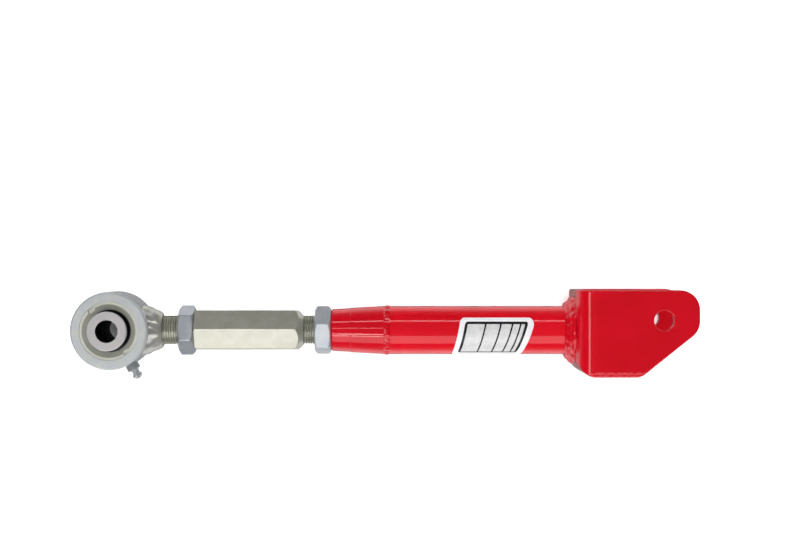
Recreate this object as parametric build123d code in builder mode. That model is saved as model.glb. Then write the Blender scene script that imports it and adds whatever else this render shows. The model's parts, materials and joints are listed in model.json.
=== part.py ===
"""Adjustable suspension control arm: bolt-on fork at one end, rebuildable swivel joint at the other.

Frame: the origin is the middle of the fork gap, on the fork's bolt-hole axis. +X runs from the swivel joint
towards the fork, +Z along both bolt axes, and +Y away from the fork's bottom flange.
"""
import os
from math import cos, radians, sin, sqrt, tan

from build123d import *

# ---------------------------------------------------------------- driving dimensions (millimetres)

arm_y = -7.2  # the tube's centre line runs this far below the fork bolt
joint_x = -359.0  # swivel joint centre; the fork bolt is at x = 0
fit_gap = 0.05  # radial play of every thread and running fit

# Fork, bent from quarter-inch plate
plate = 6.35
fork_gap = 51.5
fork_tip_x = 23.0
fork_back_x = -55.4
fork_top_y = 19.6
fork_bottom_y = -36.8
fork_hole_d = 13.0
bend_inner_r = 6.65
tip_r = 12.7
tip_corner_y = -6.4  # where the straight tip meets the sloping lower edge
slope_deg = 38.5
heel_r = 7.5
notch_r = 27.5
notch_x = -8.4
corner_weld_x = -42.0
corner_weld_r = 4.5
corner_weld_root = 1.5  # plate left between the bead and the inside corner

# Tube and its threaded adapter
tube_r = 15.875
tube_wall = 3.175
tube_end_x = -178.0
groove_half = 2.2
groove_depth = 1.6
bead_crown = 0.35
adapter_end_x = -214.9
adapter_end_r = 13.8
adapter_step_x = -202.0
adapter_step_r = 14.7
adapter_step = 0.2
adapter_edge = 1.1
adapter_plug_x = -160.0
fork_weld_r = 23.2
fork_weld_len = 6.6
fork_weld_belly = 0.8  # how far the bead bulges past a straight cone

# Three-quarter-inch fine thread, jam nuts and adjuster sleeve
thread_r = 9.525
thread_lead = 1.2
bore_lead = 0.9
nut_flats = 28.575
nut_height = 10.7
nut_crown_r = 13.6
sleeve_flats = 25.4
sleeve_end_x = -304.5
sleeve_cone_x = -233.0
sleeve_stud_x = -172.0
sleeve_bore_x = -246.0
sleeve_edge = 0.8
tube_nut_turn = 14.0  # rest angles of the three hexagons about the arm
joint_nut_turn = 52.0
sleeve_turn = 25.6
rod_stud_x = -258.0

# Swivel joint
housing_r = 25.4
housing_half = 18.25
housing_bore_r = 19.05
housing_edge = 1.2
lip_z = 13.2  # inner faces of the lip and of the retaining ring
mouth_r = 13.9
mouth_z = 14.3
mouth_rim_r = 17.5
ring_top_z = 17.85
ring_slot_deg = 130.0
ring_slot_width = 4.0
ring_slot_depth = 1.2
race_split = 0.4
race_mouth_r = 12.6
ball_r = 15.875
ball_flat_z = 12.2
spacer_pilot_r = 8.5
spacer_pilot_z = 0.5
spacer_neck_r = 9.525
spacer_flange_r = 12.85
spacer_flange_z = 22.2
spacer_end_z = 25.4
spacer_edge = 0.5
joint_bolt_r = 7.25
stud_weld_points = [(-325.8, 9.9), (-328.3, 11.6), (-331.6, 13.7), (-334.9, 15.9), (-338.0, 17.0)]

# Grease fitting, screwed into the side of the housing
grease_deg = -62.0
grease_hex_flats = 8.0
grease_hex_height = 4.0
grease_height = 10.6
grease_shank_r = 3.175
grease_neck_r = 2.3
grease_head_r = 3.25
grease_bore_r = 1.7
grease_mouth_r = 0.8
grease_lip = 1.0
check_ball_r = 1.3
spring_wire_r = 0.2
spring_coil_r = 1.1
spring_turns = 7

# Label on the tube
label_x = (-130.0, -81.0, -91.0, -136.0)  # its four corners along the arm, upper pair first
label_turn_deg = -27.0  # its middle line, from +Z towards +Y
label_span_deg = 120.0
label_corner_r = 3.0
label_thickness = 0.12

# ---------------------------------------------------------------- worked-out dimensions and planes

fork_half = fork_gap / 2 + plate
bend_outer_r = bend_inner_r + plate
flange_top_y = fork_bottom_y + plate
heel_x = fork_tip_x - (tip_corner_y - fork_bottom_y) / tan(radians(slope_deg))
thread_bore_r = thread_r + fit_gap
tube_inner_r = tube_r - tube_wall
sleeve_corner_r = sleeve_flats / sqrt(3)
race_r = housing_bore_r - fit_gap
socket_r = ball_r + fit_gap
race_end_z = lip_z - fit_gap

arm_plane = Plane(origin=(0, arm_y, 0))
arm_axis = Axis((0, arm_y, 0), (1, 0, 0))
joint_plane = Plane(origin=(joint_x, arm_y, 0), x_dir=(1, 0, 0), z_dir=(0, -1, 0))
joint_axis = Axis((joint_x, arm_y, 0), (0, 0, 1))
grease_dir = Vector(cos(radians(grease_deg)), sin(radians(grease_deg)), 0)
grease_plane = Plane(origin=(joint_x, arm_y, 0), x_dir=grease_dir, z_dir=(0, 0, 1))
grease_axis = Axis((joint_x, arm_y, 0), grease_dir)


def across(x):
    """Plane across the arm at x, with local x along +Y and local y along +Z."""
    return Plane(origin=(x, arm_y, 0), x_dir=(0, 1, 0), z_dir=(1, 0, 0))


def turned(plane, axis, points, mode=Mode.ADD):
    """Turn a closed outline of (along, radius) points about an axis, as on a lathe."""
    with BuildSketch(plane) as outline:
        with BuildLine():
            Polyline(*points, close=True)
        make_face()
    revolve(outline.sketch, axis=axis, mode=mode)


def save(builder, name):
    """Label a finished piece and write its STEP file."""
    builder.part.label = name
    export_step(builder.part, f"parts/{name}.step")


os.makedirs("parts", exist_ok=True)

# ---------------------------------------------------------------- fork bracket and its welds

with BuildPart() as fork_cavity:
    with BuildSketch(Plane.XY.offset(-fork_gap / 2)):
        with Locations((fork_back_x + plate, flange_top_y)):
            Rectangle(120, 120, align=(Align.MIN, Align.MIN))
    extrude(amount=fork_gap)
    cavity_back = fork_cavity.faces().sort_by(Axis.X)[0]
    fillet(cavity_back.edges().sort_by(Axis.Y)[:-1], radius=bend_inner_r)

with BuildPart() as fork_notch:
    with BuildSketch(Plane.XZ.offset(-flange_top_y)):
        with Locations((notch_x, 0)):
            Circle(notch_r)
            Rectangle(2 * notch_r, fork_gap, mode=Mode.INTERSECT)
    extrude(amount=2 * plate)

with BuildPart() as fork_blank:
    with BuildSketch(Plane.XY.offset(-fork_half)):
        with BuildLine():
            Polyline(
                (fork_back_x, fork_top_y),
                (fork_back_x, fork_bottom_y),
                (heel_x, fork_bottom_y),
                (fork_tip_x, tip_corner_y),
                (fork_tip_x, fork_top_y),
                close=True,
            )
        make_face()
        fillet(vertices().group_by(Axis.X)[-1], radius=tip_r)
        fillet(vertices().sort_by_distance((heel_x, fork_bottom_y))[0], radius=heel_r)
    extrude(amount=2 * fork_half)
    web_face = fork_blank.faces().sort_by(Axis.X)[0]
    fillet(web_face.edges().sort_by(Axis.Y)[:-1], radius=bend_outer_r)
    add(fork_cavity.part, mode=Mode.SUBTRACT)
    add(fork_notch.part, mode=Mode.SUBTRACT)
    with BuildSketch(Plane.XY.offset(-fork_half)):
        Circle(fork_hole_d / 2)
    extrude(amount=2 * fork_half, mode=Mode.SUBTRACT)

with BuildPart() as corner_zone:
    with BuildSketch(Plane.YZ.offset(corner_weld_x)):
        with Locations((flange_top_y - corner_weld_root, fork_gap / 2 + corner_weld_root)):
            Rectangle(2 * plate, 2 * plate, align=(Align.MAX, Align.MIN))
    extrude(amount=fork_tip_x - corner_weld_x)
    mirror(about=Plane.XY)

with BuildPart() as fork_corner_welds:
    with BuildSketch(Plane.YZ.offset(corner_weld_x)):
        with Locations((fork_bottom_y, 0)):
            Rectangle(4 * plate, 2 * fork_half, align=(Align.MIN, Align.CENTER))
        fillet(vertices().group_by(Axis.X)[0], radius=corner_weld_r)
    extrude(amount=fork_tip_x - corner_weld_x)
    add(corner_zone.part, mode=Mode.INTERSECT)
    add(fork_blank.part, mode=Mode.INTERSECT)
save(fork_corner_welds, "fork_corner_welds")

with BuildPart() as fork_bracket:
    add(fork_blank.part)
    add(corner_zone.part, mode=Mode.SUBTRACT)
save(fork_bracket, "fork_bracket")

with BuildPart() as fork_tube_weld:
    with BuildSketch(arm_plane):
        with BuildLine():
            Line((fork_back_x, tube_r), (fork_back_x, fork_weld_r))
            Spline(
                (fork_back_x, fork_weld_r),
                (fork_back_x - fork_weld_len / 2, (fork_weld_r + tube_r) / 2 + fork_weld_belly),
                (fork_back_x - fork_weld_len, tube_r),
            )
            Line((fork_back_x - fork_weld_len, tube_r), (fork_back_x, tube_r))
        make_face()
    revolve(axis=arm_axis)
save(fork_tube_weld, "fork_tube_weld")

# ---------------------------------------------------------------- tube, adapter and the weld between them

with BuildPart() as arm_tube:
    turned(
        arm_plane,
        arm_axis,
        [
            (fork_back_x, tube_inner_r),
            (fork_back_x, tube_r),
            (tube_end_x + groove_half, tube_r),
            (tube_end_x, tube_r - groove_depth),
            (tube_end_x, tube_inner_r),
        ],
    )
save(arm_tube, "arm_tube")

with BuildPart() as tube_adapter:
    turned(
        arm_plane,
        arm_axis,
        [
            (adapter_plug_x, thread_bore_r + bore_lead),
            (adapter_plug_x, tube_inner_r - fit_gap - bore_lead),
            (adapter_plug_x - bore_lead, tube_inner_r - fit_gap),
            (tube_end_x, tube_inner_r - fit_gap),
            (tube_end_x, tube_r - groove_depth),
            (tube_end_x - groove_half, tube_r),
            (adapter_step_x, adapter_step_r),
            (adapter_step_x - adapter_step, adapter_step_r - adapter_step),
            (adapter_end_x + adapter_edge, adapter_end_r),
            (adapter_end_x, adapter_end_r - adapter_edge),
            (adapter_end_x, thread_bore_r + bore_lead),
            (adapter_end_x + bore_lead, thread_bore_r),
            (adapter_plug_x - bore_lead, thread_bore_r),
        ],
    )
save(tube_adapter, "tube_adapter")

with BuildPart() as adapter_weld:
    with BuildSketch(arm_plane):
        with BuildLine():
            ThreePointArc(
                (tube_end_x - groove_half, tube_r),
                (tube_end_x, tube_r + bead_crown),
                (tube_end_x + groove_half, tube_r),
            )
            Polyline(
                (tube_end_x + groove_half, tube_r),
                (tube_end_x, tube_r - groove_depth),
                (tube_end_x - groove_half, tube_r),
            )
        make_face()
    revolve(axis=arm_axis)
save(adapter_weld, "adapter_weld")

# ---------------------------------------------------------------- label

label_normal = Vector(0, sin(radians(label_turn_deg)), cos(radians(label_turn_deg)))
label_plane = Plane(origin=(0, arm_y, 0), x_dir=(1, 0, 0), z_dir=label_normal)
label_half_width = tube_r * sin(radians(label_span_deg / 2))

with BuildPart() as label:
    with BuildSketch(across(min(label_x))):
        Circle(tube_r + label_thickness)
        Circle(tube_r, mode=Mode.SUBTRACT)
    extrude(amount=max(label_x) - min(label_x))
    with BuildSketch(label_plane):
        with BuildLine():
            Polyline(
                (label_x[0], label_half_width),
                (label_x[1], label_half_width),
                (label_x[2], -label_half_width),
                (label_x[3], -label_half_width),
                close=True,
            )
        make_face()
        fillet(vertices(), radius=label_corner_r)
    extrude(amount=2 * tube_r, mode=Mode.INTERSECT)
save(label, "label")

# ---------------------------------------------------------------- jam nuts


def jam_nut_body(x, turn):
    """Double-chamfered jam nut whose fork-side face is at x."""
    with BuildSketch(across(x)) as hexagon:
        RegularPolygon(nut_flats / 2, 6, major_radius=False, rotation=turn)
    extrude(hexagon.sketch, amount=-nut_height)
    corner_r = nut_flats / sqrt(3)
    crown = (corner_r - nut_crown_r) * tan(radians(30))
    turned(
        arm_plane,
        arm_axis,
        [
            (x, thread_bore_r + bore_lead),
            (x, nut_crown_r),
            (x - crown, corner_r),
            (x - nut_height + crown, corner_r),
            (x - nut_height, nut_crown_r),
            (x - nut_height, thread_bore_r + bore_lead),
            (x - nut_height + bore_lead, thread_bore_r),
            (x - bore_lead, thread_bore_r),
        ],
        mode=Mode.INTERSECT,
    )


with BuildPart() as tube_jam_nut:
    jam_nut_body(adapter_end_x, tube_nut_turn)
save(tube_jam_nut, "tube_jam_nut")

with BuildPart() as sleeve_jam_nut:
    jam_nut_body(sleeve_end_x, joint_nut_turn)
save(sleeve_jam_nut, "sleeve_jam_nut")

# ---------------------------------------------------------------- adjuster sleeve

with BuildPart() as adjuster_sleeve:
    with BuildSketch(across(sleeve_end_x)):
        RegularPolygon(sleeve_flats / 2, 6, major_radius=False, rotation=sleeve_turn)
    extrude(amount=sleeve_cone_x - sleeve_end_x)
    turned(
        arm_plane,
        arm_axis,
        [
            (sleeve_end_x, 0),
            (sleeve_end_x, sleeve_corner_r - sleeve_edge),
            (sleeve_end_x + sleeve_edge, sleeve_corner_r),
            (sleeve_cone_x - (sleeve_corner_r - thread_r), sleeve_corner_r),
            (sleeve_cone_x, thread_r),
            (sleeve_cone_x, 0),
        ],
        mode=Mode.INTERSECT,
    )
    turned(
        arm_plane,
        arm_axis,
        [
            (sleeve_cone_x, 0),
            (sleeve_cone_x, thread_r),
            (sleeve_stud_x - thread_lead, thread_r),
            (sleeve_stud_x, thread_r - thread_lead),
            (sleeve_stud_x, 0),
        ],
    )
    turned(
        arm_plane,
        arm_axis,
        [
            (sleeve_end_x, 0),
            (sleeve_end_x, thread_bore_r + bore_lead),
            (sleeve_end_x + bore_lead, thread_bore_r),
            (sleeve_bore_x, thread_bore_r),
            (sleeve_bore_x + thread_bore_r / 2, 0),
        ],
        mode=Mode.SUBTRACT,
    )
save(adjuster_sleeve, "adjuster_sleeve")

# ---------------------------------------------------------------- rod end: housing, stud, weld and ring

with BuildPart() as housing_envelope:
    with BuildSketch(joint_plane):
        with Locations((0, 0)):
            Rectangle(housing_r, 2 * housing_half, align=(Align.MIN, Align.CENTER))
    revolve(axis=joint_axis)

with BuildPart() as joint_housing:
    turned(
        joint_plane,
        joint_axis,
        [
            (housing_bore_r, housing_half),
            (housing_r - housing_edge, housing_half),
            (housing_r, housing_half - housing_edge),
            (housing_r, -housing_half + housing_edge),
            (housing_r - housing_edge, -housing_half),
            (mouth_rim_r, -housing_half),
            (mouth_r, -mouth_z),
            (mouth_r, -lip_z),
            (housing_bore_r, -lip_z),
        ],
    )
    with BuildSketch(Plane(origin=(joint_x, arm_y, 0), x_dir=(0, 0, 1), z_dir=grease_dir)):
        Circle(grease_shank_r)
    extrude(amount=housing_r, mode=Mode.SUBTRACT)
save(joint_housing, "joint_housing")

with BuildPart() as retaining_ring:
    turned(
        joint_plane,
        joint_axis,
        [
            (mouth_r, lip_z),
            (housing_bore_r, lip_z),
            (housing_bore_r, ring_top_z),
            (mouth_rim_r, ring_top_z),
            (mouth_r, mouth_z),
        ],
    )
    with BuildSketch(Plane.XY.offset(ring_top_z)):
        with Locations((joint_x, arm_y)):
            Rectangle(2 * housing_bore_r, ring_slot_width, rotation=ring_slot_deg)
    extrude(amount=-ring_slot_depth, mode=Mode.SUBTRACT)
save(retaining_ring, "retaining_ring")

with BuildPart() as threaded_stud:
    turned(
        arm_plane,
        arm_axis,
        [
            (joint_x, 0),
            (joint_x, thread_r),
            (rod_stud_x - thread_lead, thread_r),
            (rod_stud_x, thread_r - thread_lead),
            (rod_stud_x, 0),
        ],
    )
    add(housing_envelope.part, mode=Mode.SUBTRACT)
save(threaded_stud, "threaded_stud")

with BuildPart() as stud_weld:
    turned(
        arm_plane,
        arm_axis,
        [(stud_weld_points[0][0], thread_r)] + stud_weld_points + [(stud_weld_points[-1][0], thread_r)],
    )
    add(housing_envelope.part, mode=Mode.SUBTRACT)
save(stud_weld, "stud_weld")

# ---------------------------------------------------------------- races, ball and spacers


def race(side):
    """One half of the plastic socket; side is +1 for the half above the middle plane."""
    mouth_low = sqrt(socket_r**2 - race_mouth_r**2)
    arc_mid = (race_split + mouth_low) / 2
    with BuildSketch(joint_plane) as section:
        with BuildLine():
            Polyline(
                (sqrt(socket_r**2 - race_split**2), side * race_split),
                (race_r, side * race_split),
                (race_r, side * race_end_z),
                (mouth_r, side * race_end_z),
                (race_mouth_r, side * (mouth_low + 1.5)),
                (race_mouth_r, side * mouth_low),
            )
            ThreePointArc(
                (race_mouth_r, side * mouth_low),
                (sqrt(socket_r**2 - arc_mid**2), side * arc_mid),
                (sqrt(socket_r**2 - race_split**2), side * race_split),
            )
        make_face()
    revolve(section.sketch, axis=joint_axis)


with BuildPart() as upper_race:
    race(1)
save(upper_race, "upper_race")

with BuildPart() as lower_race:
    race(-1)
save(lower_race, "lower_race")

with BuildPart() as swivel_ball:
    with Locations((joint_x, arm_y, 0)):
        Sphere(ball_r)
        Cylinder(ball_r, 2 * ball_flat_z, mode=Mode.INTERSECT)
        Cylinder(spacer_pilot_r + fit_gap, 2 * ball_r, mode=Mode.SUBTRACT)
save(swivel_ball, "swivel_ball")


def spacer(side):
    """Flanged spacer that fills the ball's bore from one side; side is +1 for the upper one."""
    outline = [
        (joint_bolt_r, spacer_pilot_z),
        (spacer_pilot_r, spacer_pilot_z),
        (spacer_pilot_r, ball_flat_z + fit_gap),
        (spacer_neck_r, ball_flat_z + fit_gap),
        (spacer_neck_r, spacer_flange_z),
        (spacer_flange_r - spacer_edge, spacer_flange_z),
        (spacer_flange_r, spacer_flange_z + spacer_edge),
        (spacer_flange_r, spacer_end_z - spacer_edge),
        (spacer_flange_r - spacer_edge, spacer_end_z),
        (joint_bolt_r, spacer_end_z),
    ]
    turned(joint_plane, joint_axis, [(radius, side * height) for radius, height in outline])


with BuildPart() as upper_spacer:
    spacer(1)
save(upper_spacer, "upper_spacer")

with BuildPart() as lower_spacer:
    spacer(-1)
save(lower_spacer, "lower_spacer")

# ---------------------------------------------------------------- grease fitting

shank_end = housing_bore_r + 0.3
lip_top = shank_end + grease_lip
hex_top = housing_r + grease_hex_height
head_top = housing_r + grease_height
seat_wide = head_top - 2.0
seat_narrow = seat_wide + grease_bore_r - grease_mouth_r
check_ball_at = seat_wide + grease_bore_r - check_ball_r * sqrt(2) - fit_gap
spring_low = lip_top + spring_wire_r
spring_high = check_ball_at - check_ball_r


def on_grease_axis(height):
    """Point on the fitting's axis, at a distance from the joint centre."""
    return grease_axis.position + grease_dir * height


grease_end_plane = Plane(origin=on_grease_axis(housing_r), x_dir=(0, 0, 1), z_dir=grease_dir)

with BuildPart() as grease_fitting:
    turned(
        grease_plane,
        grease_axis,
        [
            (shank_end, 0),
            (shank_end, grease_shank_r),
            (hex_top, grease_shank_r),
            (hex_top + 1.2, grease_neck_r),
            (hex_top + 2.6, grease_neck_r),
            (hex_top + 3.8, grease_head_r),
            (hex_top + 5.0, grease_head_r),
            (head_top, 1.5),
            (head_top, 0),
        ],
    )
    with BuildSketch(grease_end_plane):
        RegularPolygon(grease_hex_flats / 2, 6, major_radius=False)
    extrude(amount=grease_hex_height)
    turned(
        grease_plane,
        grease_axis,
        [
            (shank_end, 0),
            (shank_end, spring_coil_r),
            (lip_top, spring_coil_r),
            (lip_top, grease_bore_r),
            (seat_wide, grease_bore_r),
            (seat_narrow, grease_mouth_r),
            (head_top, grease_mouth_r),
            (head_top, 0),
        ],
        mode=Mode.SUBTRACT,
    )
save(grease_fitting, "grease_fitting")

with BuildPart() as grease_check_ball:
    with Locations(on_grease_axis(check_ball_at)):
        Sphere(check_ball_r)
save(grease_check_ball, "grease_check_ball")

with BuildPart() as grease_spring:
    with BuildLine() as coil:
        Helix(
            pitch=(spring_high - spring_low) / spring_turns,
            height=spring_high - spring_low,
            radius=spring_coil_r,
            center=on_grease_axis(spring_low),
            direction=grease_dir,
        )
    with BuildSketch(Plane(origin=coil.line @ 0, z_dir=coil.line % 0)):
        Circle(spring_wire_r)
    sweep(path=coil.line)
save(grease_spring, "grease_spring")
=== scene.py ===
import json
from math import asin, cos, exp, hypot, pi, radians, sin, sqrt

import bmesh
import bpy
import numpy as np
from mathutils import Matrix, Vector

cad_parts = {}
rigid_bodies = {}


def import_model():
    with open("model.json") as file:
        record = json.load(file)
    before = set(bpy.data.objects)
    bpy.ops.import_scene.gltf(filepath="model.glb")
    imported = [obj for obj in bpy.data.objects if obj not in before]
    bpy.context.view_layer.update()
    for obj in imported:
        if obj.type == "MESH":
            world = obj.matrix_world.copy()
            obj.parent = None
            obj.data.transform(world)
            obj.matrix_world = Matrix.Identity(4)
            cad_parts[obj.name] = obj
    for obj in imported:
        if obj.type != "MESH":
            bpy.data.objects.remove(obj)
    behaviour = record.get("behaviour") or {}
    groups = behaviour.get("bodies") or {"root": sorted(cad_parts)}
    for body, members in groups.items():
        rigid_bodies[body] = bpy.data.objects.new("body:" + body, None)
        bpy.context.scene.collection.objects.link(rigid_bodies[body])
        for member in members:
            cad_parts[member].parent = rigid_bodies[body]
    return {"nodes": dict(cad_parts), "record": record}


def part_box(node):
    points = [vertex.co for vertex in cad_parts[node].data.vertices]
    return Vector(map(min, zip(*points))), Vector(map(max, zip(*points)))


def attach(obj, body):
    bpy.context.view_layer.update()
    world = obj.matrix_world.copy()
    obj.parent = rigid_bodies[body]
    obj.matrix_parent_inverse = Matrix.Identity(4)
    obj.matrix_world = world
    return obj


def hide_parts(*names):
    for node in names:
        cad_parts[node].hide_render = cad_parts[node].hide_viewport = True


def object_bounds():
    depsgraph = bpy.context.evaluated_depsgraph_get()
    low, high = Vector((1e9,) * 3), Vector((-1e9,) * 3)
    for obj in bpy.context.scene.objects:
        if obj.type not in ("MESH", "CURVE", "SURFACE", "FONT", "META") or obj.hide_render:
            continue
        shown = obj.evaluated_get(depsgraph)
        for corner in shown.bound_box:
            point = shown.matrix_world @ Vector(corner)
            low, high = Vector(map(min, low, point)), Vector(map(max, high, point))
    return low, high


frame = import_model()
cad_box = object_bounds()

# ---------------------------------------------------------------- sizes read from the frame (metres)

MM = 0.001
MICRON = 0.000001


def centre_of(node):
    """Middle of a CAD node's box."""
    low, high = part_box(node)
    return [(a + b) / 2 for a, b in zip(low, high)]


def radius_of(node):
    """Half of a turned CAD node's height."""
    low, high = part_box(node)
    return (high[2] - low[2]) / 2


ARM_Y = centre_of("arm_tube")[1]
TUBE_R = radius_of("arm_tube")
THREAD_R = radius_of("threaded_stud")
JOINT = Vector(centre_of("swivel_ball"))
FORK_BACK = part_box("fork_bracket")[0][0]
FORK_LOW, FORK_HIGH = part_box("fork_bracket")
FLOOR_Z = cad_box[0][2]
MOUNTS = {mount["name"]: mount for mount in frame["record"]["mounts"]}
JOINT_BORE_R = MOUNTS["joint_bore"]["dims"]["r_mm"] * MM

THREAD_PITCH = 25.4 / 16 * MM
THREAD_DEPTH = 0.6134 * THREAD_PITCH
THREAD_CHAMFER = 1.2 * MM

BEVEL_STEPS = 3
FLAT_DEG = 0.4
SMOOTH_DEG = 50

# ---------------------------------------------------------------- mesh helpers


def new_piece(name, verts, faces, body, material, sharp_deg):
    """A mesh object made from points and faces, which rides on a CAD body."""
    mesh = bpy.data.meshes.new(name)
    mesh.from_pydata([tuple(v) for v in verts], [], [tuple(f) for f in faces])
    tidy_mesh(mesh, sharp_deg)
    return place(bpy.data.objects.new(name, mesh), body, material)


def tidy_mesh(mesh, sharp_deg):
    """Merges doubled points, closes open ends, turns faces outwards and smooths all but the sharp edges."""
    work = bmesh.new()
    work.from_mesh(mesh)
    bmesh.ops.remove_doubles(work, verts=work.verts, dist=1e-7)
    bmesh.ops.dissolve_degenerate(work, edges=work.edges, dist=1e-7)
    bmesh.ops.holes_fill(work, edges=[e for e in work.edges if e.is_boundary])
    bmesh.ops.recalc_face_normals(work, faces=work.faces)
    work.to_mesh(mesh)
    work.free()
    mesh.polygons.foreach_set("use_smooth", [True] * len(mesh.polygons))
    mesh.set_sharp_from_angle(angle=radians(sharp_deg))


def place(piece, body, material):
    """Puts a piece in the scene, on its body, with its material."""
    bpy.context.scene.collection.objects.link(piece)
    piece.data.materials.clear()
    piece.data.materials.append(material)
    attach(piece, body)
    return piece


def grid_faces(rows, columns, wrap_rows=False):
    """Quads of a grid whose columns close on themselves."""
    faces = []
    for i in range(rows if wrap_rows else rows - 1):
        for j in range(columns):
            k = (j + 1) % columns
            n = (i + 1) % rows
            faces.append((i * columns + j, i * columns + k, n * columns + k, n * columns + j))
    return faces


def about_arm(x, radius, angle):
    """Points at a radius about the arm's axis, as an (n, 3) array."""
    points = np.stack([x, ARM_Y + radius * np.cos(angle), radius * np.sin(angle)], axis=-1)
    return points.reshape(-1, 3)


def rounded_copy(node, radius, body, material, min_deg=30, keep=None):
    """Stands for a CAD node with its sharp edges rounded off. keep may first cut away part of its bmesh."""
    mesh = bpy.data.meshes.new(node + "_finished")
    work = bmesh.new()
    work.from_mesh(frame["nodes"][node].data)
    bmesh.ops.remove_doubles(work, verts=work.verts, dist=1e-6)
    if keep:
        keep(work)
    bmesh.ops.dissolve_limit(work, angle_limit=radians(FLAT_DEG), verts=work.verts, edges=work.edges)
    sharp = [e for e in work.edges if len(e.link_faces) == 2 and e.calc_face_angle() > radians(min_deg)]
    bmesh.ops.bevel(
        work, geom=sharp, offset=radius, offset_type="OFFSET", segments=BEVEL_STEPS, profile=0.5,
        affect="EDGES", clamp_overlap=False,
    )
    work.to_mesh(mesh)
    work.free()
    mesh.polygons.foreach_set("use_smooth", [True] * len(mesh.polygons))
    mesh.set_sharp_from_angle(angle=radians(SMOOTH_DEG))
    piece = place(bpy.data.objects.new(node + "_finished", mesh), body, material)
    weigh = piece.modifiers.new("weigh", "WEIGHTED_NORMAL")
    weigh.keep_sharp = True
    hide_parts(node)
    return piece


def threaded_rod(name, x_low, x_high, hand, body, material):
    """A rod along the arm with a helical thread; hand is +1 for a right-hand thread, -1 for a left one.

    The profile is one pitch of the thread, as places along it and shares of its depth. Each turn of the
    grid ends a pitch away from where it starts, so its seam joins rows that are one profile apart.
    """
    profile = ((0.0, 0.0), (0.125, 0.0), (0.40, 1.0), (0.5625, 1.08), (0.725, 1.0))
    columns = 72
    turns = int((x_high - x_low) / THREAD_PITCH) + 3
    start = x_low - THREAD_PITCH
    rows = []
    for turn in range(turns):
        rows += [(start + (turn + at) * THREAD_PITCH, THREAD_R - deep * THREAD_DEPTH) for at, deep in profile]
    along = np.array(rows)
    angle = np.arange(columns) / columns * 2 * pi
    x = along[:, :1] - hand * angle[None, :] / (2 * pi) * THREAD_PITCH
    radius = np.repeat(along[:, 1:], columns, axis=1)
    inside = np.minimum(x - x_low, x_high - x)
    radius = np.minimum(radius, THREAD_R - THREAD_CHAMFER + np.clip(inside, 0, None))
    x = np.clip(x, x_low, x_high)
    verts = [tuple(p) for p in about_arm(x, radius, angle[None, :] + 0 * x)]
    faces = []
    for i in range(len(rows) - 1):
        for j in range(columns - 1):
            k, n = i * columns + j, (i + 1) * columns + j
            faces.append((k, k + 1, n + 1, n))
    shift = hand * len(profile)
    for i in range(len(rows) - 1):
        a, b = i + shift, i + 1 + shift
        if a >= 0 and b < len(rows):
            k, n = (i + 1) * columns - 1, (i + 2) * columns - 1
            faces.append((k, a * columns, b * columns, n))
    return new_piece(name, verts, faces, body, material, sharp_deg=40)


# ---------------------------------------------------------------- materials


class Finish:
    """One procedural material. Its methods add nodes and return their output sockets."""

    def __init__(self, name):
        self.material = bpy.data.materials.new(name)
        self.material.use_nodes = True
        self.tree = self.material.node_tree
        self.surface = self.tree.nodes["Principled BSDF"]
        self.place = self.node("TexCoord").outputs["Object"]

    def node(self, kind, values=None, **settings):
        node = self.tree.nodes.new("ShaderNode" + kind)
        for key, value in settings.items():
            setattr(node, key, value)
        for key, value in (values or {}).items():
            self.put(node.inputs[key], value)
        return node

    def put(self, socket, value):
        if isinstance(value, bpy.types.NodeSocket):
            self.tree.links.new(value, socket)
        else:
            socket.default_value = value

    def set(self, **values):
        """Sets or links the shader's own sockets, named with underscores for spaces."""
        for key, value in values.items():
            self.put(self.surface.inputs[key.replace("_", " ").title().replace("Ior", "IOR")], value)

    def noise(self, scale, detail=2.0, rough=0.5, at=None, stretch=None, twist=0.0):
        """Noise of a given number of features a metre."""
        at = at or self.place
        if stretch:
            at = self.node("VectorMath", {0: at, 1: stretch}, operation="MULTIPLY").outputs[0]
        values = {"Vector": at, "Scale": scale, "Detail": detail, "Roughness": rough, "Distortion": twist}
        return self.node("TexNoise", values).outputs["Fac"]

    def span(self, value, low, high, start=0.3, end=0.7):
        """Maps a value from start..end to low..high."""
        values = {"Value": value, "From Min": start, "From Max": end, "To Min": low, "To Max": high}
        return self.node("MapRange", values).outputs[0]

    def blend(self, amount, first, second):
        """Mixes two colours."""
        mix = self.node("Mix", data_type="RGBA")
        for socket, value in zip((mix.inputs[0], mix.inputs[6], mix.inputs[7]), (amount, first, second)):
            self.put(socket, value)
        return mix.outputs[2]

    def maths(self, operation, first, second=0.0):
        return self.node("Math", {0: first, 1: second}, operation=operation).outputs[0]

    def bump(self, height, distance, below=None):
        """Turns a height of 0..1 into a surface normal; distance is its depth in metres."""
        values = {"Height": height, "Distance": distance, "Strength": 1.0}
        if below:
            values["Normal"] = below
        return self.node("Bump", values).outputs[0]

    def turned(self, axis, centre):
        """Coordinates for marks that run round an axis: radius, place along it, and a little of the angle."""
        offset = self.node("VectorMath", {0: self.place, 1: tuple(centre)}, operation="SUBTRACT").outputs[0]
        parts = self.node("SeparateXYZ", {0: offset}).outputs
        along = parts[axis]
        one, two = [parts[i] for i in range(3) if i != axis]
        squares = self.maths("ADD", self.maths("MULTIPLY", one, one), self.maths("MULTIPLY", two, two))
        radius = self.maths("SQRT", squares)
        angle = self.maths("MULTIPLY", self.maths("ARCTAN2", one, two), 0.0004)
        return self.node("CombineXYZ", {0: radius, 1: along, 2: angle}).outputs[0]


def rgb(red, green, blue):
    """A colour in screen values 0..255, as the linear values that a shader takes."""
    def linear(v):
        v /= 255
        return v / 12.92 if v <= 0.04045 else ((v + 0.055) / 1.055) ** 2.4
    return (linear(red), linear(green), linear(blue), 1.0)


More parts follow.
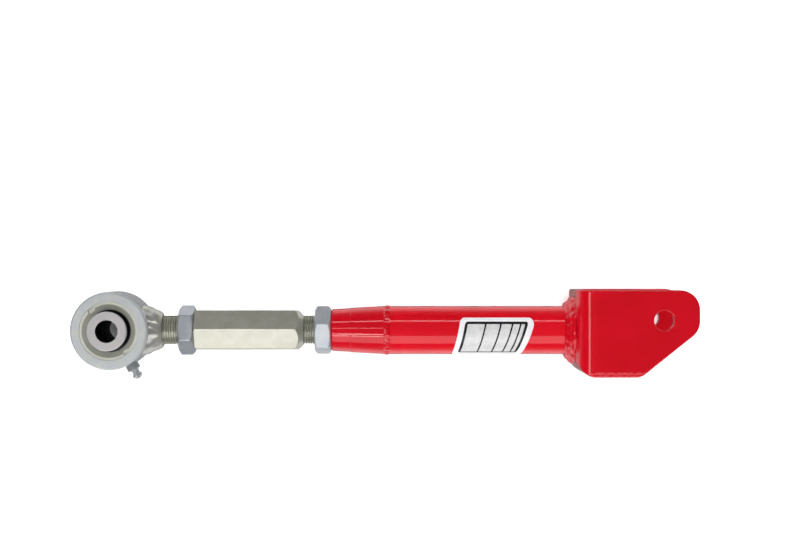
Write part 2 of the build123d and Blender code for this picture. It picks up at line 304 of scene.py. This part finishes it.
def powder_coat(name, peel_depth, gloss, deep=rgb(196, 0, 22), light=rgb(206, 1, 28)):
    """Gloss red powder coat: an orange-peel skin with slow changes of depth in its colour."""
    f = Finish(name)
    cloud = f.span(f.noise(35, 2), 0, 1)
    f.set(base_color=f.blend(cloud, deep, light))
    skin = f.bump(f.noise(420, 2, 0.55), peel_depth)
    f.set(normal=skin, roughness=0.38, specular_ior_level=0.08)
    f.set(coat_weight=1.0, coat_roughness=gloss, coat_ior=1.5, coat_normal=skin)
    return f.material


def zinc(name, first, second, third, roughness, marks=None, marks_scale=1500, marks_depth=4 * MICRON,
         stretch=None, metal=0.8):
    """Zinc plate over steel: three tints in soft patches, over the marks of its machining."""
    f = Finish(name)
    patch = f.span(f.noise(70, 3, 0.6, twist=0.6), 0, 1, 0.35, 0.65)
    cloud = f.span(f.noise(160, 3, 0.55), 0, 1, 0.45, 0.75)
    at = f.turned(*marks) if marks else f.place
    f.set(base_color=f.blend(cloud, f.blend(patch, first, second), third))
    cut = f.noise(marks_scale, 2, 0.6, at=at, stretch=stretch)
    grain = f.noise(3000, 2, 0.6)
    f.set(normal=f.bump(grain, 0.8 * MICRON, below=f.bump(cut, marks_depth)))
    f.set(metallic=metal, roughness=roughness, specular_ior_level=0.3)
    return f.material


def plain(name, colour, other, roughness, metallic=0.0, coat=0.0, scale=300):
    """A moulded or printed surface with a fine grain and a slight change of colour."""
    f = Finish(name)
    f.set(base_color=f.blend(f.span(f.noise(scale, 3), 0, 1), colour, other))
    f.set(metallic=metallic, roughness=roughness, specular_ior_level=0.5 - 0.5 * roughness)
    f.set(coat_weight=coat, coat_roughness=0.08)
    f.set(normal=f.bump(f.noise(scale * 8, 2), 3 * MICRON))
    return f.material


ARM_CENTRE = (0.0, ARM_Y, 0.0)
RED = powder_coat("red_powder_coat_finish", 8 * MICRON, 0.06)
RED_SMOOTH = powder_coat("red_smooth_finish", 2 * MICRON, 0.03)
# A brighter red for the tube: a painted sheen, standing for the soft sheen of light across its middle.
RED_TUBE_SHEEN = powder_coat("red_tube_painted_sheen_finish", 8 * MICRON, 0.06, rgb(207, 2, 25), rgb(217, 4, 30))
ZINC_NUT = zinc("zinc_nut_finish", rgb(168, 174, 182), rgb(178, 182, 189), rgb(188, 192, 194), 0.30,
                marks=(0, ARM_CENTRE), marks_depth=2 * MICRON, metal=0.85)
ZINC_NUT_PALE = zinc("zinc_pale_nut_finish", rgb(170, 178, 185), rgb(178, 182, 188), rgb(188, 191, 190), 0.38,
                     marks=(0, ARM_CENTRE), marks_depth=2 * MICRON, metal=0.45)
ZINC_SLEEVE = zinc("zinc_sleeve_finish", rgb(196, 195, 182), rgb(204, 202, 189), rgb(211, 209, 198), 0.34,
                   marks_scale=900, stretch=(0.05, 1.0, 1.0), marks_depth=4 * MICRON)
ZINC_STUD = zinc("zinc_stud_finish", rgb(162, 163, 150), rgb(172, 172, 158), rgb(188, 188, 172), 0.30,
                 marks=(0, ARM_CENTRE))
ZINC_WELD = zinc("zinc_weld_finish", rgb(176, 177, 174), rgb(188, 187, 181), rgb(200, 196, 184), 0.24,
                 metal=0.6)
ZINC_HOUSING = zinc("zinc_housing_finish", rgb(184, 190, 193), rgb(190, 192, 195), rgb(197, 200, 190), 0.48,
                    marks=(2, JOINT), marks_scale=1800, marks_depth=6 * MICRON, metal=0.42)
ZINC_RING = zinc("zinc_ring_finish", rgb(204, 204, 192), rgb(212, 210, 196), rgb(198, 204, 196), 0.42,
                 marks=(2, JOINT), marks_scale=1500, marks_depth=4 * MICRON, metal=0.5)
ZINC_SPACER = zinc("zinc_spacer_finish", rgb(190, 187, 190), rgb(197, 193, 194), rgb(201, 198, 190), 0.36,
                   marks=(2, JOINT), marks_scale=2000, marks_depth=6 * MICRON, metal=0.5)
ZINC_TURNED = zinc("zinc_turned_finish", rgb(190, 194, 200), rgb(197, 200, 205), rgb(203, 206, 201), 0.26,
                   marks=(2, JOINT), marks_scale=2400, marks_depth=6 * MICRON, metal=0.6)
FITTING = zinc("fitting_finish", rgb(196, 200, 204), rgb(206, 210, 212), rgb(212, 212, 206), 0.20, metal=0.7)
BALL = plain("ball_finish", rgb(206, 206, 208), rgb(214, 214, 216), 0.14, metallic=1.0)
SPRING = plain("spring_finish", rgb(150, 150, 152), rgb(170, 170, 172), 0.3, metallic=1.0)
RACE = plain("race_finish", rgb(24, 24, 25), rgb(32, 32, 33), 0.46)
VINYL = plain("vinyl_white_finish", rgb(232, 231, 236), rgb(238, 238, 240), 0.3, coat=0.5)
INK = plain("ink_black_finish", rgb(14, 14, 16), rgb(20, 20, 22), 0.34, coat=0.5)
SILVER = plain("ink_silver_finish", rgb(206, 206, 207), rgb(224, 224, 223), 0.45, metallic=0.1, coat=0.3)
# Near-black for the bolt bore's wall: painted shade, where the bore is only dark because light hardly reaches
# into it.
BORE_PAINTED_SHADE = plain("bore_painted_shade_finish", rgb(10, 10, 10), rgb(14, 14, 14), 0.9)

FINISHES = {
    "red_powder_coat": RED, "label_print": VINYL, "zinc_nut": ZINC_NUT, "zinc_sleeve": ZINC_SLEEVE,
    "zinc_stud": ZINC_STUD, "zinc_weld": ZINC_WELD, "zinc_housing": ZINC_HOUSING, "zinc_ring": ZINC_RING,
    "zinc_spacer": ZINC_SPACER, "ball_steel": BALL, "race_plastic": RACE, "fitting_steel": FITTING,
    "spring_steel": SPRING,
}
# Every CAD node gets the finish of its slot, then the adapter gets a smoother red, and the tube a brighter
# red that is a painted sheen across its middle.
for subpart in frame["record"]["subparts"]:
    node_mesh = frame["nodes"][subpart["node"]].data
    for index in range(len(node_mesh.materials)):
        node_mesh.materials[index] = FINISHES[subpart["material_slot"]]
frame["nodes"]["tube_adapter"].data.materials[0] = RED_SMOOTH
frame["nodes"]["arm_tube"].data.materials[0] = RED_TUBE_SHEEN

# ---------------------------------------------------------------- fork


def both(a, b, r, lean=0.0):
    """Distance to where two solids overlap, their edge rounded to r; lean is their normals' product."""
    u, v = a + r, b + r
    on_corner = (u > lean * v) & (v > lean * u)
    corner = np.sqrt(np.maximum(u ** 2 + v ** 2 - 2 * lean * u * v, 0) / (1 - lean ** 2)) - r
    return np.where(on_corner, corner, np.maximum(a, b))


def either(a, b, r):
    """Distance to two solids joined, with the inside corner between them filled to r."""
    return -both(-a, -b, r)


def skin_faces(inside):
    """Cells that the skin crosses, and quads joining them, one round each grid edge with one end inside."""
    corners = sum(
        inside[i:inside.shape[0] - 1 + i, j:inside.shape[1] - 1 + j, k:inside.shape[2] - 1 + k].astype(int)
        for i in (0, 1) for j in (0, 1) for k in (0, 1)
    )
    cells = (corners > 0) & (corners < 8)
    number = np.full(cells.shape, -1)
    number[cells] = np.arange(cells.sum())
    quads = []
    for axis in range(3):
        one, two = [a for a in range(3) if a != axis]
        crossed = np.argwhere(np.diff(inside.astype(int), axis=axis) != 0)
        ring = []
        for back_one, back_two in ((1, 1), (0, 1), (0, 0), (1, 0)):
            cell = crossed.copy()
            cell[:, one] -= back_one
            cell[:, two] -= back_two
            ring.append(number[tuple(cell.T)])
        quads.append(np.stack(ring, axis=1))
    return np.argwhere(cells), np.concatenate(quads)


SLOPE_NUDGE = 0.02 * MM
SKIN_PASSES = 8


def skin_piece(name, distance, low, high, cell, body, material):
    """A mesh on the zero surface of a distance field, with normals taken from the field."""
    axes = [np.arange(a - 2 * cell, b + 3 * cell, cell) for a, b in zip(low, high)]
    grid = np.stack(np.meshgrid(*axes, indexing="ij"), axis=-1)
    cells, quads = skin_faces(distance(grid) < 0)
    points = np.array([a[0] for a in axes]) + (cells + 0.5) * cell

    def slope(p):
        steps = [distance(p + SLOPE_NUDGE * d) - distance(p - SLOPE_NUDGE * d) for d in np.eye(3)]
        return np.stack(steps, axis=-1) / (2 * SLOPE_NUDGE)

    for _ in range(SKIN_PASSES):
        points = points - distance(points)[:, None] * slope(points)
    points = np.clip(points, low, high)
    piece = new_piece(name, points, quads, body, material, sharp_deg=180)
    points = np.array([v.co for v in piece.data.vertices])
    normals = slope(points)
    piece.data.normals_split_custom_set_from_vertices(normals / np.linalg.norm(normals, axis=1)[:, None])
    return piece


PLATE = 6.35 * MM
BEND_INNER_R = 6.65 * MM
EDGE_R = 0.9 * MM
TIP_R = 12.7 * MM
TIP_CORNER_Y = -6.4 * MM
SLOPE = radians(38.5)
HEEL_R = 7.5 * MM
NOTCH_R = 27.5 * MM
NOTCH_X = -8.4 * MM
CORNER_WELD_R = 4.5 * MM
EAR_FILLET_R = 1.5 * MM
HOLE_EDGE_R = 0.6 * MM
FORK_CELL = 0.75 * MM
FORK_HOLE_R = MOUNTS["fork_bore"]["dims"]["r_mm"] * MM


def lower_edge_distance(x, y):
    """Distance to the ears' sloping lower edge."""
    return (x - FORK_HIGH[0]) * sin(SLOPE) - (y - TIP_CORNER_Y) * cos(SLOPE)


def heel_distance(x, y):
    """Distance to what lies above the fork's sloping lower edge and its bottom, round the heel."""
    return both(lower_edge_distance(x, y), FORK_LOW[1] - y, HEEL_R, cos(SLOPE))


def fork_distance(p):
    """Distance to the fork: a plate bent to two ears and a bottom flange, with its cut edges rounded."""
    x, y, z = p[..., 0], p[..., 1], np.abs(p[..., 2])
    back, tip = FORK_BACK - x, x - FORK_HIGH[0]
    bottom, top = FORK_LOW[1] - y, y - FORK_HIGH[1]
    side = z - FORK_HIGH[2]
    bend_r = BEND_INNER_R + PLATE
    outside = np.maximum(both(back, side, bend_r), both(back, bottom, bend_r))
    outside = np.maximum(outside, both(side, bottom, CORNER_WELD_R))
    cut = np.maximum(both(top, tip, TIP_R), both(tip, lower_edge_distance(x, y), TIP_R, sin(SLOPE)))
    heel = heel_distance(x, y)
    outer = np.maximum(both(outside, cut, EDGE_R), both(heel, side, EDGE_R))
    web = x - (FORK_BACK + PLATE)
    ear = FORK_HIGH[2] - PLATE - z
    notch = NOTCH_R - np.hypot(x - NOTCH_X, p[..., 2])
    flange = both(y - (FORK_LOW[1] + PLATE), notch, EDGE_R)
    inner = np.minimum(either(web, ear, BEND_INNER_R), either(web, flange, BEND_INNER_R))
    inner = np.minimum(inner, either(ear, flange, EAR_FILLET_R))
    return both(both(outer, inner, EDGE_R), FORK_HOLE_R - np.hypot(x, y), HOLE_EDGE_R)


fork = skin_piece("fork_plate", fork_distance, FORK_LOW, FORK_HIGH, FORK_CELL, "arm", RED)
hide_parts("fork_bracket")

# ---------------------------------------------------------------- welds


def waves(angle, seed, counts, sizes):
    """A smooth uneven line round a ring: a few whole-number waves with fixed, unrelated phases."""
    total = 0 * angle
    for i, (count, size) in enumerate(zip(counts, sizes)):
        total = total + size * np.sin(count * angle + seed * (i + 1) * 1.7)
    return total


def lumps(across, angle, count, passes, seed):
    """Heights 0..1 of rounded lumps of weld metal laid round a ring in passes, uneven in place and size."""
    total = 0 * (across + angle)
    for run in range(passes):
        for k in range(count):
            odd = [sin(seed + 7.3 * k + 3.1 * run + 2.3 * i) for i in range(4)]
            middle = (k + 0.5 * run + 0.28 * odd[0]) * 2 * pi / count
            beside = (run + 0.5 + 0.14 * odd[1]) / passes
            turn = (angle - middle + pi) % (2 * pi) - pi
            wide = 2 * pi / count * (0.66 + 0.14 * odd[2])
            deep = (0.62 + 0.14 * odd[3]) / passes
            dome = 1 - (turn / wide) ** 2 - ((across - beside) / deep) ** 2
            total = total + np.exp(5 * np.maximum(dome, -1.5)) - exp(-7.5)
    return np.log(1 + total) / 5


def smooth_path(points, count):
    """Evenly spaced points on a Catmull-Rom curve through (x, r) points."""
    p = np.array([points[0]] + list(points) + [points[-1]], float)
    out = []
    for i in range(1, len(p) - 2):
        for t in np.linspace(0, 1, 24, endpoint=False):
            out.append(0.5 * (2 * p[i] + (p[i + 1] - p[i - 1]) * t
                              + (2 * p[i - 1] - 5 * p[i] + 4 * p[i + 1] - p[i + 2]) * t ** 2
                              + (3 * p[i] - p[i - 1] - 3 * p[i + 1] + p[i + 2]) * t ** 3))
    out = np.array(out + [p[-2]])
    length = np.concatenate([[0], np.cumsum(np.linalg.norm(np.diff(out, axis=0), axis=1))])
    at = np.linspace(0, length[-1], count)
    return np.stack([np.interp(at, length, out[:, 0]), np.interp(at, length, out[:, 1])], axis=1)


def weld_ring(name, node, outline, core, body, material, count, passes, height, seed):
    """A welded bead round the arm. outline is its (x, r) face, core closes it inside the joined pieces."""
    rows, columns = 48, 640
    face = smooth_path(outline, rows)
    tangent = np.gradient(face, axis=0)
    normal = np.stack([tangent[:, 1], -tangent[:, 0]], axis=1)
    normal /= np.linalg.norm(normal, axis=1)[:, None]
    if normal[rows // 2, 1] < 0:
        normal = -normal
    across = np.linspace(0, 1, rows)[:, None]
    angle = (np.arange(columns) / columns * 2 * pi)[None, :]
    fade = np.sin(pi * across) ** 0.35
    uneven = waves(angle, seed, (3, 5, 8), (0.1, 0.08, 0.06))
    rise = fade * height * (lumps(across, angle, count, passes, seed) + uneven)
    x = face[:, :1] + normal[:, :1] * rise
    radius = face[:, 1:] + normal[:, 1:] * rise
    for core_x, core_r in core:
        x = np.vstack([x, np.full((1, columns), core_x)])
        radius = np.vstack([radius, np.full((1, columns), core_r)])
    verts = about_arm(x, radius, angle + 0 * x)
    faces = grid_faces(len(x), columns, wrap_rows=True)
    piece = new_piece(name, verts, faces, body, material, sharp_deg=70)
    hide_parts(node)


weld_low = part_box("fork_tube_weld")[0]
fork_weld_r = radius_of("fork_tube_weld")
fork_weld_mid = ((weld_low[0] + FORK_BACK) / 2, (TUBE_R + fork_weld_r) / 2 - 0.3 * MM)
weld_ring(
    "fork_tube_weld_bead", "fork_tube_weld",
    [(weld_low[0], TUBE_R - 0.1 * MM), fork_weld_mid, (FORK_BACK + 0.1 * MM, fork_weld_r - 0.4 * MM)],
    [(FORK_BACK + 0.4 * MM, TUBE_R - 0.8 * MM), (weld_low[0] + 0.4 * MM, TUBE_R - 0.8 * MM)],
    "arm", RED_SMOOTH, count=21, passes=2, height=0.95 * MM, seed=1,
)

bead_low, bead_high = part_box("adapter_weld")
bead_mid = (bead_low[0] + bead_high[0]) / 2
weld_ring(
    "adapter_weld_bead", "adapter_weld",
    [(bead_low[0], TUBE_R - 0.15 * MM), (bead_mid, TUBE_R - 0.1 * MM), (bead_high[0], TUBE_R - 0.15 * MM)],
    [(bead_high[0], TUBE_R - 1.2 * MM), (bead_low[0], TUBE_R - 1.2 * MM)],
    "arm", RED_SMOOTH, count=21, passes=1, height=0.62 * MM, seed=5,
)

stud_weld_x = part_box("stud_weld")[1][0]
STUD_WELD_REACH = 13.0 * MM
weld_ring(
    "stud_weld_bead", "stud_weld",
    [(stud_weld_x, THREAD_R - 0.1 * MM), (stud_weld_x - 0.7 * MM, THREAD_R + 1.4 * MM),
     (stud_weld_x - 3.2 * MM, THREAD_R + 2.9 * MM), (stud_weld_x - 7.5 * MM, THREAD_R + 4.7 * MM),
     (stud_weld_x - STUD_WELD_REACH, THREAD_R + 6.9 * MM)],
    [(stud_weld_x - STUD_WELD_REACH, THREAD_R - 1.5 * MM), (stud_weld_x - 0.5 * MM, THREAD_R - 1.5 * MM)],
    "rod_end", ZINC_WELD, count=10, passes=2, height=0.75 * MM, seed=9,
)


RIPPLE = 4.6 * MM
BEAD_CELL = 0.35 * MM


def corner_weld(side):
    """The bead that closes the corner between an ear and the bottom flange; side is +1 for the upper ear."""
    low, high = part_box("fork_corner_welds")
    axis_y, axis_z = low[1] + CORNER_WELD_R, high[2] - CORNER_WELD_R

    def bead(p):
        x, y, z = p[..., 0], p[..., 1], side * p[..., 2]
        turn = np.arctan2(axis_y - y, z - axis_z)
        crown = np.sin(2 * np.clip(turn, 0, pi / 2))
        phase = (x - low[0]) / RIPPLE * 2 * pi + 1.3 * np.cos(2 * turn) + 0.9 * np.sin(x * 290 + side)
        rise = crown * (0.26 + 0.26 * np.sin(phase)) + 0.12 * crown * np.sin(x * 610 + 2 * turn)
        tube = np.hypot(y - axis_y, z - axis_z) - CORNER_WELD_R - (rise - 0.14) * MM
        inside = np.maximum(y - axis_y, axis_z - z) - 1.0 * MM
        shaped = both(both(tube, heel_distance(x, y) - 0.1 * MM, 1.0 * MM), low[0] - x, 1.5 * MM)
        return np.maximum(shaped, inside)

    z_ends = sorted((side * (axis_z - 2 * MM), side * high[2]))
    box_low = (low[0], low[1] - 1 * MM, z_ends[0])
    box_high = (high[0] + 4 * MM, axis_y + 2 * MM, z_ends[1])
    name = "corner_weld_upper" if side > 0 else "corner_weld_lower"
    piece = skin_piece(name, bead, box_low, box_high, BEAD_CELL, "arm", RED)
    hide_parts("fork_corner_welds")


corner_weld(1)
corner_weld(-1)

# ---------------------------------------------------------------- print on the label

LABEL_TURN = radians(-27)
LABEL_SPAN = radians(120)
LABEL_LIFT = 0.12 * MM
label_low, label_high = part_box("label")
LABEL_HALF = TUBE_R * sin(LABEL_SPAN / 2)
SLANT_LEFT = 6 * MM
SLANT_RIGHT = 10 * MM


def label_patch(name, left, right, inset, lift, corner, material):
    """A printed area on the label. left and right are fractions of its length, inset its two margins."""
    columns, rows = 48, 40
    length = (right - left) * (label_high[0] - label_low[0])
    normal = (sin(LABEL_TURN), cos(LABEL_TURN))
    side = (cos(LABEL_TURN), -sin(LABEL_TURN))
    verts = []
    for top in (lift, LABEL_LIFT * 0.5):
        for i in range(columns):
            s = (1 - cos(pi * i / (columns - 1))) / 2
            edge = min(s, 1 - s) * length
            cut = corner - sqrt(max(corner ** 2 - (corner - min(edge, corner)) ** 2, 0)) if corner else 0
            for j in range(rows):
                v_low, v_high = inset[1] + cut - LABEL_HALF, LABEL_HALF - inset[0] - cut
                v = v_low + (v_high - v_low) * j / (rows - 1)
                up = (v / LABEL_HALF + 1) / 2
                x_left = label_low[0] + SLANT_LEFT * up
                x_right = label_high[0] - SLANT_RIGHT * (1 - up)
                x = x_left + (x_right - x_left) * (left + (right - left) * s)
                angle = asin(v / TUBE_R)
                radius = TUBE_R + top
                y = ARM_Y + radius * (cos(angle) * normal[0] + sin(angle) * side[0])
                z = radius * (cos(angle) * normal[1] + sin(angle) * side[1])
                verts.append((x, y, z))
    faces = []
    sheet = columns * rows
    for i in range(columns - 1):
        for j in range(rows - 1):
            a = i * rows + j
            faces.append((a, a + rows, a + rows + 1, a + 1))
            faces.append((sheet + a, sheet + a + 1, sheet + a + rows + 1, sheet + a + rows))
    rim = [i * rows for i in range(columns)] + [(columns - 1) * rows + j for j in range(1, rows)]
    rim += [i * rows + rows - 1 for i in range(columns - 2, -1, -1)] + [j for j in range(rows - 2, 0, -1)]
    for a, b in zip(rim, rim[1:] + rim[:1]):
        faces.append((a, b, sheet + b, sheet + a))
    new_piece(name, verts, faces, "arm", material, sharp_deg=50)


PANEL_INSET = (1.7 * MM, 4.1 * MM)
FIELD_INSET = (2.9 * MM, 5.3 * MM)
PANEL_LEFT = 0.06
PANEL_RIGHT = 0.94
PANEL_LIFT = LABEL_LIFT + 0.03 * MM
PANEL_CORNER_R = 1.6 * MM
BAR_LIFT = LABEL_LIFT + 0.05 * MM
BAR_CORNER_R = 0.5 * MM
FIRST_BAR = 0.098
BAR_WIDTHS = (0.24, 0.19, 0.14, 0.09, 0.05)
BAR_GAP = 0.0235

label_patch("label_panel", PANEL_LEFT, PANEL_RIGHT, PANEL_INSET, PANEL_LIFT, PANEL_CORNER_R, INK)
bar_left = FIRST_BAR
for bar, share in enumerate(BAR_WIDTHS):
    bar_right = bar_left + share
    label_patch(f"label_bar_{bar + 1}", bar_left, bar_right, FIELD_INSET, BAR_LIFT, BAR_CORNER_R, SILVER)
    bar_left = bar_right + BAR_GAP

# ---------------------------------------------------------------- threads and sleeve

sleeve_tip_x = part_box("adjuster_sleeve")[1][0]
SLEEVE_STUD_LENGTH = 61 * MM
SLEEVE_CONE_END = sleeve_tip_x - SLEEVE_STUD_LENGTH


def without_stud(work):
    """Leaves only the hexagon of the sleeve."""
    geom = work.verts[:] + work.edges[:] + work.faces[:]
    bmesh.ops.bisect_plane(
        work, geom=geom, plane_co=(SLEEVE_CONE_END - 0.05 * MM, 0, 0), plane_no=(1, 0, 0), clear_outer=True,
    )
    rim = [e for e in work.edges if e.is_boundary]
    bmesh.ops.holes_fill(work, edges=rim)


rounded_copy("adjuster_sleeve", 0.3 * MM, "sleeve", ZINC_SLEEVE, min_deg=25, keep=without_stud)
sleeve_thread = threaded_rod(
    "sleeve_thread", SLEEVE_CONE_END - 0.8 * MM, sleeve_tip_x, 1, "sleeve", ZINC_STUD,
)
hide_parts("adjuster_sleeve")

rod_tip_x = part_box("threaded_stud")[1][0]
rod_thread = threaded_rod(
    "rod_end_thread", stud_weld_x - 6 * MM, rod_tip_x, -1, "rod_end", ZINC_STUD,
)
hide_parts("threaded_stud")

# ---------------------------------------------------------------- jam nuts, housing and small parts


def paint_bore_shade(piece):
    """Paints the wall of the joint's bolt bore near-black: painted shade that stands for the dark inside the
    deep through bore.
    """
    piece.data.materials.append(BORE_PAINTED_SHADE)
    points = piece.data.vertices
    for face in piece.data.polygons:
        reach = max(hypot(points[i].co.x - JOINT[0], points[i].co.y - JOINT[1]) for i in face.vertices)
        if reach < JOINT_BORE_R + 0.1 * MM:
            face.material_index = len(piece.data.materials) - 1


def brighten_sides(piece, material):
    """Gives a turned piece's outer sides a brighter machined finish than its end faces."""
    piece.data.materials.append(material)
    for face in piece.data.polygons:
        outward = Vector((face.center.x - JOINT[0], face.center.y - JOINT[1], 0))
        if face.normal.dot(outward.normalized()) > 0.9:
            face.material_index = len(piece.data.materials) - 1


rounded_copy("tube_jam_nut", 0.35 * MM, "tube_jam_nut", ZINC_NUT_PALE, min_deg=18)
rounded_copy("sleeve_jam_nut", 0.35 * MM, "sleeve_jam_nut", ZINC_NUT, min_deg=18)
brighten_sides(rounded_copy("joint_housing", 0.25 * MM, "rod_end", ZINC_HOUSING), ZINC_TURNED)
rounded_copy("retaining_ring", 0.15 * MM, "rod_end", ZINC_RING)
rounded_copy("grease_fitting", 0.12 * MM, "rod_end", FITTING)
rounded_copy("grease_check_ball", 0.1 * MM, "rod_end", BALL)
for spacer in ("upper_spacer", "lower_spacer"):
    part = rounded_copy(spacer, 0.15 * MM, "spacers", ZINC_SPACER)
    # Painted shade: the wall of the spacer's bore gets the near-black material.
    paint_bore_shade(part)
    brighten_sides(part, ZINC_TURNED)

# ---------------------------------------------------------------- floor, light and camera

ARM_MIDDLE = (centre_of("arm_tube")[0] - 0.06, ARM_Y, 0)
TABLE_CORNER = 6.0
GLOW = 0.9
GLOW_FROM = 0.45
GLOW_FULL = 1.6
WALL_R = 4.0
WALL_TOP = 4.0
WALL_SIDES = 96
TABLE_LAMP_LEAN = 32
STRIP_SHIFT = -0.33


def area_light(name, at, towards, width, depth, power):
    """A soft rectangular lamp whose width runs along the arm."""
    lamp = bpy.data.lights.new(name, "AREA")
    lamp.shape = "RECTANGLE"
    lamp.size, lamp.size_y = width, depth
    lamp.energy = power
    holder = bpy.data.objects.new(name, lamp)
    away = (Vector(at) - Vector(towards)).normalized()
    up = away.cross(Vector((1, 0, 0))).normalized()
    side = up.cross(away)
    turn = Matrix((side, up, away)).transposed().to_4x4()
    holder.matrix_world = Matrix.Translation(at) @ turn
    bpy.context.scene.collection.objects.link(holder)
    return holder


def make_floor():
    """A plain white table, which glows softly beyond the part so that its far edge isn't dim."""
    mesh = bpy.data.meshes.new("floor")
    turns = [pi / 4 + i * pi / 2 for i in range(4)]
    corners = [(TABLE_CORNER * cos(t), TABLE_CORNER * sin(t), FLOOR_Z - 0.2 * MM) for t in turns]
    mesh.from_pydata(corners, [], [(0, 1, 2, 3)])
    floor = bpy.data.objects.new("floor", mesh)
    bpy.context.scene.collection.objects.link(floor)
    f = Finish("floor_finish")
    pale = f.blend(f.span(f.noise(3, 2), 0, 1), (0.86, 0.86, 0.87, 1), (0.88, 0.88, 0.88, 1))
    radius = f.node("SeparateXYZ", {0: f.turned(2, ARM_MIDDLE)}).outputs[0]
    f.set(base_color=pale, roughness=0.8, specular_ior_level=0.0)
    f.set(emission_color=(1, 1, 1, 1), emission_strength=f.span(radius, 0, GLOW, GLOW_FROM, GLOW_FULL))
    mesh.materials.append(f.material)
    floor.visible_glossy = False
    return floor


def make_backdrop():
    """A white wall round the table, which only fills the background."""
    turns = [2 * pi * i / WALL_SIDES for i in range(WALL_SIDES)]
    levels = (FLOOR_Z - 0.3 * MM, WALL_TOP)
    verts = [(WALL_R * cos(t), WALL_R * sin(t), z) for z in levels for t in turns]
    mesh = bpy.data.meshes.new("backdrop")
    mesh.from_pydata(verts, [], grid_faces(len(levels), WALL_SIDES))
    wall = bpy.data.objects.new("backdrop", mesh)
    bpy.context.scene.collection.objects.link(wall)
    f = Finish("backdrop_finish")
    tint = f.blend(f.span(f.noise(0.5, 2), 0, 1), (0.93, 0.93, 0.94, 1), (0.97, 0.97, 0.97, 1))
    f.set(base_color=(0, 0, 0, 1), specular_ior_level=0.0, emission_color=tint, emission_strength=1.0)
    mesh.materials.append(f.material)
    wall.visible_glossy = False
    wall.visible_diffuse = False
    wall.visible_shadow = False


def make_world():
    """Surroundings with a white band below the horizon, dark above it and grey straight down.

    Places on the ramp run from 0, straight down, through 0.5, the horizon, to 1, straight overhead.
    """
    world = bpy.data.worlds.new("studio")
    bpy.context.scene.world = world
    world.use_nodes = True
    tree = world.node_tree
    coords = tree.nodes.new("ShaderNodeTexCoord")
    parts = tree.nodes.new("ShaderNodeSeparateXYZ")
    spread = tree.nodes.new("ShaderNodeMapRange")
    ramp = tree.nodes.new("ShaderNodeValToRGB")
    spread.inputs["From Min"].default_value = -1.0
    tree.links.new(coords.outputs["Generated"], parts.inputs[0])
    tree.links.new(parts.outputs[2], spread.inputs[0])
    tree.links.new(spread.outputs[0], ramp.inputs[0])
    tree.links.new(ramp.outputs[0], tree.nodes["Background"].inputs[0])
    stops = ramp.color_ramp.elements
    stops[0].position, stops[0].color = 0.28, (0.95, 0.95, 0.97, 1)
    stops[1].position, stops[1].color = 0.42, (0.12, 0.12, 0.12, 1)
    for position, shade in ((0.04, 0.24), (0.12, 0.95), (0.62, 0.02)):
        stops.new(position).color = (shade, shade, shade, 1)
    tree.nodes["Background"].inputs[1].default_value = 1.0


def lamp_from(name, lean_deg, distance, width, depth, power, shift=0.0):
    """A lamp over the arm, leaning from straight overhead towards +Y by an angle and shifted along it."""
    lean = radians(lean_deg)
    across, up = distance * sin(lean), distance * cos(lean)
    middle = Vector((ARM_MIDDLE[0] + shift, ARM_MIDDLE[1], 0))
    return area_light(name, middle + Vector((0, across, up)), middle, width, depth, power)


def light_table_apart(floor):
    """Two lamps, one on each side, for the table alone, while the lamps made before light all but the table.

    Either of them is enough to make the table white, so a shadow shows only where the arm hides both.
    """
    table_only = bpy.data.collections.new("table_only")
    table_only.objects.link(floor)
    all_but_table = bpy.data.collections.new("all_but_table")
    all_but_table.objects.link(floor)
    all_but_table.collection_objects[0].light_linking.link_state = "EXCLUDE"
    for lamp in bpy.context.scene.objects:
        if lamp.type == "LIGHT":
            lamp.light_linking.receiver_collection = all_but_table
    for name, lean_deg in (("table_lamp_left", -TABLE_LAMP_LEAN), ("table_lamp_right", TABLE_LAMP_LEAN)):
        lamp = lamp_from(name, lean_deg, distance=2.0, width=1.8, depth=1.1, power=66)
        lamp.light_linking.receiver_collection = table_only


table = make_floor()
make_backdrop()
make_world()
lamp_from("key_softbox", lean_deg=-46, distance=1.2, width=2.6, depth=0.85, power=11)
lamp_from("strip_high", lean_deg=46, distance=1.2, width=2.6, depth=0.09, power=4.4)
lamp_from("strip_over", lean_deg=11, distance=1.3, width=0.5, depth=0.03, power=0.5, shift=STRIP_SHIFT)
lamp_from("strip_near", lean_deg=-19, distance=1.3, width=0.5, depth=0.05, power=1.5, shift=STRIP_SHIFT)
lamp_from("strip_low", lean_deg=-29, distance=1.3, width=0.5, depth=0.03, power=0.9, shift=STRIP_SHIFT)
bend_at = Vector((FORK_BACK, ARM_Y, FORK_HIGH[2]))
area_light("bend_lamp", bend_at + Vector((-1.05, -0.05, 1.15)), bend_at, width=0.28, depth=0.3, power=1.0)
joint_at = Vector((JOINT[0], ARM_Y, 0))
area_light("left_strip", joint_at + Vector((-0.54, -1.3, 0.05)), joint_at, width=0.25, depth=0.5, power=1.6)
area_light("right_strip", joint_at + Vector((-0.54, 1.3, 0.05)), joint_at, width=0.25, depth=0.5, power=1.6)
fill = lamp_from("overhead_fill", lean_deg=4, distance=1.6, width=3.0, depth=2.4, power=22)
fill.visible_glossy = False
light_table_apart(table)

# The camera looks straight down, from a metre above the arm's axis.
CAMERA_AT = (-0.1695, 0.0348, 1.0)
SENSOR_WIDTH_MM = 36
LENS_MM = 68

camera = bpy.data.objects.new("camera", bpy.data.cameras.new("camera"))
camera.data.sensor_width = SENSOR_WIDTH_MM
camera.data.lens = LENS_MM
camera.location = CAMERA_AT
camera.rotation_euler = (0, 0, 0)
bpy.context.scene.collection.objects.link(camera)
bpy.context.scene.camera = camera
bpy.context.scene.view_settings.view_transform = "Standard"
